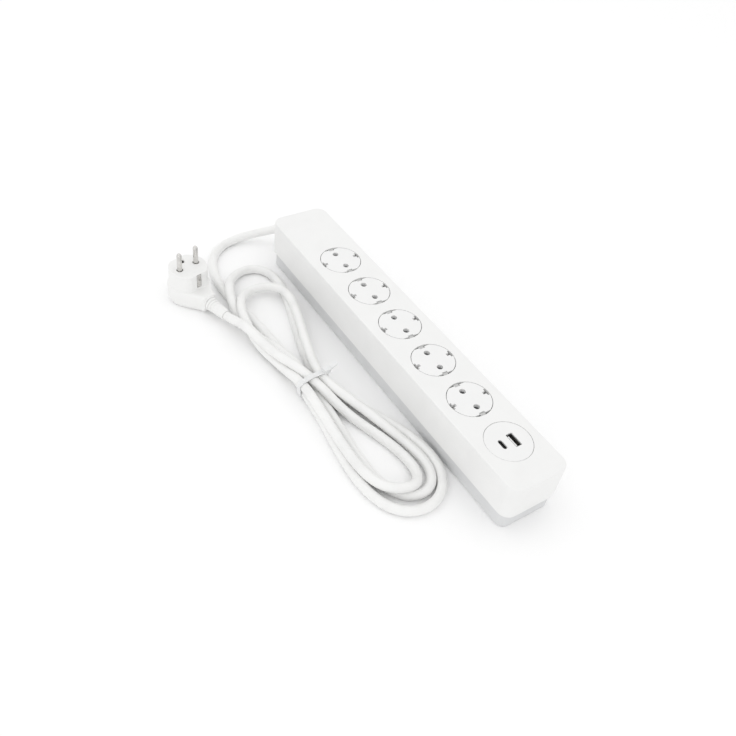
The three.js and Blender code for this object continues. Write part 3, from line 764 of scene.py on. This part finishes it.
def socket_face_mesh():
    """One face about its own middle, with its pocket underneath and two pin holes through it."""
    top = STRIP["height"]
    bottom, under = top - FACE["depth"], top - FACE["thickness"]
    outline, edge = face_outline(), 0.35
    levels = [(edge, bottom), (0, bottom + edge)] + list(fillet(edge, top, 4))
    builder = bmesh.new()
    low, high = add_rings(builder, [[(x, y, z) for x, y in inset_outline(outline, i)] for i, z in levels])
    rim, ceiling = add_rings(builder, [circle(0, 0, z, FACE["pocket"], 72) for z in (bottom, under)])
    holes = []
    for side in (-1, 1):
        ring = [(FACE["hole"], under)] + [(FACE["hole"] + i, z) for i, z in fillet(0.3, top, 4)]
        holes.append(add_rings(builder, [circle(side * PIN_HALF, 0, z, r, 48) for r, z in ring]))
    fill_between(builder, low, rim)
    fill_between(builder, ceiling, *[hole[0] for hole in holes])
    fill_between(builder, high, *[hole[1] for hole in holes])
    bmesh.ops.recalc_face_normals(builder, faces=builder.faces)
    mesh = bpy.data.meshes.new("socket_face")
    builder.to_mesh(mesh)
    builder.free()
    return mesh


def make_faces(look):
    """The five press-in faces, each a copy of one mesh at its own socket."""
    pattern = socket_face_mesh()
    for k, x in enumerate(SOCKET_X):
        mesh = pattern.copy()
        mesh.transform(Matrix.Translation((x * MM, 0, 0)))
        piece = smooth(new_object(f"face_visual_{k + 1}", mesh, look["face"]), 40)
        hand_over(piece, f"face_{k + 1}", "white_face", f"socket_face_{k + 1}")


def make_springs(look):
    """The coil under each face, flat at both ends."""
    low, high, turns, radius, wire, steps = 16.35, 42.25, 4.5, 15, 0.45, 161
    for k, x in enumerate(SOCKET_X):
        line = []
        for u in np.linspace(0, 1, steps):
            turn = 2 * math.pi * turns * u
            height = low + (high - low) * min(max((u - 0.08) / 0.84, 0), 1)
            line.append((x + radius * math.cos(turn), radius * math.sin(turn), height))
        coil = mesh_from("spring", rings_along(line, [wire] * steps, 10))
        spring = smooth(new_object(f"spring_{k + 1}", coil, look["steel"]))
        hand_over(spring, "strip", "steel", f"face_spring_{k + 1}")
        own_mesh(spring)


# ---------------------------------------------------------------- USB charger


def port_ring(port, grow, z):
    """A port's opening, made wider all round by the given amount."""
    length, width = port["length"] + 2 * grow, port["width"] + 2 * grow
    return rounded(USB_X + port["x"], port["y"], z, length, width, max(port["corner"] + grow, 0.15), 6)


def make_usb(look):
    """The round insert with its two openings, and a metal shell in each."""
    top, under, foot = STRIP["height"], STRIP["height"] - 3, 33
    skin = [(0.01, under), (18.2, under), (18.2, foot + 0.3), (18.4, foot), (19.5, foot), (19.7, foot + 0.3)]
    skin += [(19.7, under), (USB_RADIUS, under)]
    skin += [(USB_RADIUS - inset, z) for inset, z in fillet(0.8, top, 5)] + [(17, top), (0.01, top)]
    insert = new_object("usb_visual", mesh_from("insert", turned(skin, USB_X, 0, 128)), look["insert"])
    cutters = [mesh_from("cutter", [port_ring(port, 0.3, z) for z in (45, 54)]) for port in (USB_A, USB_C)]
    carve(insert, cutters, soften=0.18, angle=45)
    hand_over(insert, "strip", "white_insert", "usb_insert")
    for name, port in (("a", USB_A), ("c", USB_C)):
        rings = [port_ring(port, -0.35, z) for z in (37.5, 51.5)] + [port_ring(port, -0.1, 51.6)]
        rings += [port_ring(port, 0, z) for z in (51.5, 37)]
        # each shell takes the dark port metal, painted shade inside its opening
        shell = smooth(new_object(f"usb_{name}_shield", mesh_from("shield", rings), look["shield"]))
        hand_over(shell, "strip", "nickel", f"usb_{name}_shell")


def make_tongues(look):
    """The tongue inside each port, with its gilt contacts: four on one side, or six on each."""
    gilt = {"material": 1}
    cx, cy = USB_X + USB_A["x"], USB_A["tongue"]
    wide = [soft_box(cx - 5.5, cx + 5.5, cy - 0.9, cy + 0.9, 37.8, 50.6, 0.2)]
    for k in range(4):
        x = cx + (k - 1.5) * 2.3
        wide.append((soft_box(x - 0.5, x + 0.5, cy + 0.8, cy + 1.05, 41, 49.6, 0.08), gilt))
    tongue = new_object("usb_a_contact_tongue", mesh_from("tongue_a", *wide), look["insert"], look["gold"])
    hand_over(smooth(tongue), "strip", "white_insert", "usb_a_tongue")
    cx, cy = USB_X + USB_C["x"], USB_C["tongue"]
    small = [soft_box(cx - 3.35, cx + 3.35, cy - 0.35, cy + 0.35, 37.8, 50.8, 0.12)]
    for k in range(6):
        x = cx + (k - 2.5) * 1.0
        for side in (-1, 1):
            y0, y1 = sorted((cy + side * 0.3, cy + side * 0.42))
            small.append((soft_box(x - 0.17, x + 0.17, y0, y1, 45, 50.2, 0.03), gilt))
    tongue = new_object("usb_c_contact_tongue", mesh_from("tongue_c", *small), look["black"], look["gold"])
    hand_over(smooth(tongue), "strip", "black_plastic", "usb_c_tongue")


# ---------------------------------------------------------------- the plug


def plug_place():
    """Where the plug stands: its own middle is the origin, and its lead leaves along its +X."""
    return Matrix.Translation((PLUG["x"] * MM, PLUG["y"] * MM, 0)) @ Matrix.Rotation(PLUG["turn"], 4, "Z")


def bezier(start, first, second, end, count):
    """The points between the two ends of a cubic curve."""
    for k in range(1, count):
        u = k / count
        yield tuple(
            (1 - u) ** 3 * a + 3 * (1 - u) ** 2 * u * b + 3 * (1 - u) * u * u * c + u**3 * d
            for a, b, c, d in zip(start, first, second, end))


def grip_ring(grow, z):
    """The grip from above: round at the back, and drawn in to the neck where the lead leaves."""
    radius, half, end = 20 + grow, 7.2 + grow, 31 + grow
    shoulder = (radius * math.cos(math.pi / 3), radius * math.sin(math.pi / 3))
    upper = [(end, 0), (end, half * 0.5), (end, half - 0.8), (end - 0.8, half)]
    upper += list(bezier((end - 0.8, half), (24, half + 1), (16, 15 + grow * 0.8), shoulder, 12))
    back = [(radius * math.cos(t), radius * math.sin(t)) for t in np.linspace(math.pi / 3, math.pi, 24)]
    one_side = upper + back
    other_side = [(x, -y) for x, y in reversed(one_side[1:-1])]
    return [(x, y, z) for x, y in one_side + other_side]


def front_ring(grow, z):
    """The pins' end from above: a disc cut flat at the two ends that carry the earth strap."""
    reach = PLUG["flat"] + grow
    disc = circle(0, 0, z, PLUG["radius"] + grow, 128)
    return [(max(-reach, min(reach, x)), y, z) for x, y, _ in disc]


def outlet_ring(x, radius, sides=48):
    """An upright circle about the line on which the lead leaves the plug."""
    turns = [2 * math.pi * k / sides for k in range(sides)]
    return [(x, radius * math.cos(t), PLUG["outlet"] + radius * math.sin(t)) for t in turns]


def plug_mesh(name, *skins):
    return mesh_from(name, *skins, place=plug_place())


def plug_front_cutters():
    """The earth hole, a shallow seat round each pin, and a bed for each leg of the earth strap."""
    hole = [(3.0, 19.6), (3.0, 35), (4.0, 36.1), (4.0, 38)]
    cutters = [plug_mesh("cutter", turned(hole, PLUG["earth_x"], 0, 48))]
    for side in (-1, 1):
        cutters.append(plug_mesh("cutter", turned([(3.2, 33.5), (3.2, 38)], 0, side * PIN_HALF, 48)))
        bed = [[(x + side * 16.6, y, z) for x, y, _ in rectangle(1.4, 2.6, 0)] for z in (20.7, 35.4)]
        cutters.append(plug_mesh("cutter", bed))
    return cutters


def make_plug_body(look):
    """The grip that the lead leaves, the block that holds the pins, a collar and the earth hole's lining."""
    edge, grip, height = 5.5, PLUG["grip"], PLUG["height"]
    low = [grip_ring(-inset * 0.75, grip - z) for inset, z in reversed(list(fillet(edge, grip, 8)))]
    high = [grip_ring(-inset, z) for inset, z in fillet(2.6, grip, 6)]
    body = new_object("plug_grip", plug_mesh("grip", low + [grip_ring(0, 9)] + high), look["plug"])
    smooth(body)
    step = [(0.5, grip - 3), (0.5, grip + 0.1), (0.1, grip + 0.6), (0, grip + 1.4)]
    front = [front_ring(grow, z) for grow, z in step]
    front += [front_ring(-inset, z) for inset, z in fillet(1.1, height, 5)]
    block = new_object("plug_front", plug_mesh("front", front), look["plug"])
    carve(block, plug_front_cutters(), soften=0.35, angle=42)
    nose = [outlet_ring(x, radius) for x, radius in ((24, 7.3), (30.6, 7.4), (31.6, 7.2), (32, 6.7))]
    collar = smooth(new_object("plug_collar", plug_mesh("nose", nose), look["plug"]))
    lining = turned([(2.5, 19.8), (2.5, 34.6), (2.7, 34.6), (2.7, 19.8)], PLUG["earth_x"], 0, 32)
    tube = plug_mesh("lining", (lining, {"closed": True}))
    tube = smooth(new_object("plug_earth_socket", tube, look["nickel"]))
    for piece in (block, collar, tube):
        piece.parent = body
    return hand_over(body, "strip", "plug_white", "plug_body")


def make_plug_relief(look):
    """Ribbed boot behind the grip, thinner towards the lead."""
    profile = [(32.3, 3), (32.3, 6.3), (32.6, 6.6)]
    for k in range(3):
        start, radius = 33.2 + 3 * k, 6.6 - 0.3 * k
        profile += [(start, radius), (start + 1.5, radius - 0.05), (start + 1.75, radius - 0.3)]
        profile += [(start + 1.9, 5.4), (start + 2.7, 5.35), (start + 2.85, radius - 0.6)]
    profile += [(42.4, 5.75), (43, 5.7), (47, 5.45), (51, 5.15), (53.6, 4.95), (54, 4.7), (54.1, 4.35)]
    rings = [outlet_ring(x, radius) for x, radius in profile]
    boot = smooth(new_object("plug_boot", plug_mesh("boot", rings), look["plug"]), 40)
    return hand_over(boot, "strip", "plug_white", "plug_relief")


def make_pins(look):
    """Two round pins with a turned groove near the root and a domed, chamfered tip."""
    radius = 2.4
    profile = [(radius, 28), (radius, 35.9), (2.32, 36.3), (radius, 36.8), (radius, 51.6)]
    tip = np.linspace(0, math.pi / 2 * 0.92, 8)
    profile += [(radius * math.cos(t), 52 + 3 * math.sin(t)) for t in tip]
    pins = []
    for k, side in enumerate((1, -1)):
        mesh = plug_mesh("pin", turned(profile, 0, side * PIN_HALF, 40))
        pins.append(smooth(new_object(f"pin_visual_{k + 1}", mesh, look["nickel"])))
        hand_over(pins[-1], "strip", "nickel", f"plug_pin_{k + 1}")
    return pins


def make_earth_strap(look):
    """A bent strip with a leg up each flat of the plug, and a raised contact on each leg."""
    skins = [soft_box(-15.7, 15.7, -2.3, 2.3, 21, 22, 0.1)]
    for side in (-1, 1):
        low, high = sorted((side * 15.5, side * 16.5))
        skins.append(soft_box(low, high, -2.3, 2.3, 21, 35.1, 0.25))
        low, high = sorted((side * 16.3, side * 16.75))
        skins.append(soft_box(low, high, -1.3, 1.3, 24.5, 32.5, 0.2))
    strap = smooth(new_object("earth_strap_visual", plug_mesh("strap", *skins), look["nickel"]))
    return hand_over(strap, "strip", "nickel", "plug_earth_strap")


# ---------------------------------------------------------------- the lead, its relief and its tie


def make_lead(route, look):
    """The whole lead as one tube."""
    rings = rings_along(route, [LEAD / 2] * len(route), 20)
    lead = new_object("lead", mesh_from("lead", rings), look["lead"])
    lead.data.polygons.foreach_set("use_smooth", [True] * len(lead.data.polygons))
    hand_over(lead, "strip", "white_cord", "cord_tail", "cord_hank", "cord_to_plug")
    return lead


def make_lead_relief(route, look):
    """The tapered boot at the wall, with its ribs, bent by the lead's weight."""
    start_of_lead = smooth_line(route[:20], 0.4)
    run = distance_along(start_of_lead)
    profile = [(0, 6.5), (0.3, 6.8), (1.7, 6.8), (2.2, 6.5), (3.2, 6.3)]
    for k in range(4):
        start = 4 + k * 5.2
        radius = 6.3 - 1.3 * (start + 2) / RELIEF_LENGTH
        profile += [(start, radius), (start + 0.3, radius + 0.25), (start + 3, radius)]
        profile += [(start + 3.3, radius - 0.35), (start + 3.5, radius - 0.8)]
        profile += [(start + 4.6, radius - 0.85), (start + 4.9, radius - 0.4)]
    profile += [(25.4, 5.2), (26.6, 4.95), (RELIEF_LENGTH, 4.6), (RELIEF_LENGTH + 0.1, 4.3)]
    line = [[np.interp(s, run, start_of_lead[:, axis]) for axis in range(3)] for s, _ in profile]
    boot = mesh_from("relief", rings_along(line, [radius for _, radius in profile], 40))
    relief = smooth(new_object("lead_boot", boot, look["lead"]), 40)
    neck = [(-190.6, 6.2), (-187.6, 6.2), (-187.5, 7.7), (-187.2, 8), (-185.8, 8), (-185.5, 7.7)]
    neck.append((-185.5, 4.4))
    inner = mesh_from("neck", [wall_ring(x, radius, 40) for x, radius in neck])
    collar = smooth(new_object("lead_boot_neck", inner, look["lead"]), 40)
    collar.parent = relief
    return hand_over(relief, "strip", "white_cord", "cord_relief")


def hull(points):
    """The convex outline round flat points, anticlockwise."""
    points = sorted(points)
    halves = []
    for run in (points, points[::-1]):
        chain = []
        for p in run:
            while len(chain) > 1 and turn_of(chain[-2], chain[-1], p) <= 0:
                chain.pop()
            chain.append(p)
        halves.append(chain[:-1])
    return halves[0] + halves[1]


def turn_of(a, b, c):
    """More than zero where the way from a over b to c turns left."""
    return (b[0] - a[0]) * (c[1] - a[1]) - (b[1] - a[1]) * (c[0] - a[0])


def tie_outline(route, grow):
    """The band's line round the strands that pass through it, as (across, height) points."""
    along = np.array([math.cos(TIE_TURN), math.sin(TIE_TURN)])
    across = np.array([-along[1], along[0]])
    radius, lowest = LEAD / 2 + grow, 1.2 - grow
    points = []
    for place in route:
        from_tie = place[:2] - TIE
        if abs(from_tie @ along) < 3.2 and np.linalg.norm(from_tie) < 22:
            strand = circle(from_tie @ across, place[2], 0, radius, 72)
            points += [(b, max(z, lowest)) for b, z, _ in strand]
    outline = hull(points)
    ring = np.array(outline + outline[:1])
    run = distance_along(ring)
    places = np.linspace(0, run[-1], 97)[:-1]
    return [(np.interp(s, run, ring[:, 0]), np.interp(s, run, ring[:, 1])) for s in places]


def make_tie(route, look):
    """A narrow nylon tie pulled tight round the hank, with its lock and its cut tail."""
    place = Matrix.Translation((TIE[0] * MM, TIE[1] * MM, 0)) @ Matrix.Rotation(TIE_TURN, 4, "Z")
    # the band's section: how far out of the strands, and how far along them
    section = [(0.15, -2.2), (0.15, 2.2), (0.4, 2.4), (0.95, 2.4)]
    section += [(1.15, 2.2), (1.15, -2.2), (0.95, -2.4), (0.4, -2.4)]
    rings = []
    for grow, along in section:
        rings.append([(along, b, z) for b, z in tie_outline(route, grow)])
    band = (rings, {"closed": True})
    outside = tie_outline(route, 1.15)
    edge, top = max(b for b, _ in outside), max(z for _, z in outside)
    lock = soft_box(-3.6, 3.6, edge - 5.2, edge + 1.6, top - 3.2, top + 1.7, 0.6)
    teeth = 21
    end = [tie_end_ring(edge, top, k / teeth, k % 2) for k in range(teeth + 1)]
    mesh = mesh_from("tie", band, lock, end, place=place)
    tie = smooth(new_object("tie_visual", mesh, look["tie"]), 40)
    return hand_over(tie, "strip", "clear_tie", "cable_tie")


def tie_end_ring(edge, top, u, tooth):
    """The tie's free end, with its fine teeth, going out of the lock and up a little."""
    b, z = edge + 1.2 + 8.5 * u, top - 0.8 + 2.6 * u
    under = z - 0.5 - 0.12 * tooth
    half = 2.2 if u < 0.95 else 1.6
    return [(-half, b, under), (half, b, under), (half, b + 0.15, z + 0.5), (-half, b + 0.15, z + 0.5)]


# ---------------------------------------------------------------- the CAD pieces that keep their shape


def finish_cad(look):
    """Gives the carried-over inner pieces their own materials."""
    looks = dict(
        live_bar="brass", neutral_bar="brass", earth_bar="brass", live_wire="brown", neutral_wire="blue",
        earth_wire="earth", cord_inner_end="lead", usb_board="board", usb_transformer="coil",
        usb_capacitor="black",
    )
    for k in range(1, len(SOCKET_X) + 1):
        # the wells take the mid grey painted shade, for the dark gap round each face
        looks.update({f"shutter_{k}": "shutter", f"socket_well_{k}": "well", f"earth_clip_{k}": "nickel"})
    for name, key in looks.items():
        slots = nodes[name].material_slots
        if slots:
            slots[0].material = look[key]
        else:
            nodes[name].data.materials.append(look[key])


# ---------------------------------------------------------------- the stage


def make_stage():
    """A plain pale floor and soft, even studio light."""
    material, _, shader, _ = material_base("floor")
    shader.inputs["Base Color"].default_value = (0.97, 0.97, 0.97, 1)
    shader.inputs["Roughness"].default_value = 0.9
    shader.inputs["Specular IOR Level"].default_value = 0.1
    floor = new_object("floor", mesh_from("floor", [circle(0, 0, z, 3000, 64) for z in (-20, 0)]), material)
    world = bpy.data.worlds.new("studio")
    world.use_nodes = True
    back = world.node_tree.nodes["Background"]
    back.inputs["Color"].default_value, back.inputs["Strength"].default_value = (1, 1, 1, 1), 1.0
    scene.world = world
    lights = [
        ("key", (-0.7, -0.5, 1.5), 1.2, 1.2),
        ("top", (0.3, 0.5, 1.6), 1.6, 0.8),
        ("low", (0.9, -1.2, 0.5), 1.0, 1.0),
    ]
    for name, place, size, power in lights:
        light = bpy.data.lights.new(name, "AREA")
        light.shape, light.size, light.energy = "DISK", size, power
        lamp = bpy.data.objects.new(name, light)
        lamp.location = place
        lamp.rotation_euler = (-Vector(place)).to_track_quat("-Z", "Y").to_euler()
        scene.collection.objects.link(lamp)
    scene.view_settings.view_transform = "Standard"


def main():
    make_camera()
    look = make_materials()
    route = lead_route()
    boot = make_lead_relief(route, look)
    tie = make_tie(route, look)
    plug = [make_plug_body(look), make_plug_relief(look), *make_pins(look), make_earth_strap(look)]
    make_lead(route, look)
    make_housing(look)
    make_base(look)
    make_clamp(look)
    make_screws(look)
    make_faces(look)
    make_springs(look)
    make_usb(look)
    make_tongues(look)
    finish_cad(look)
    make_stage()


main()
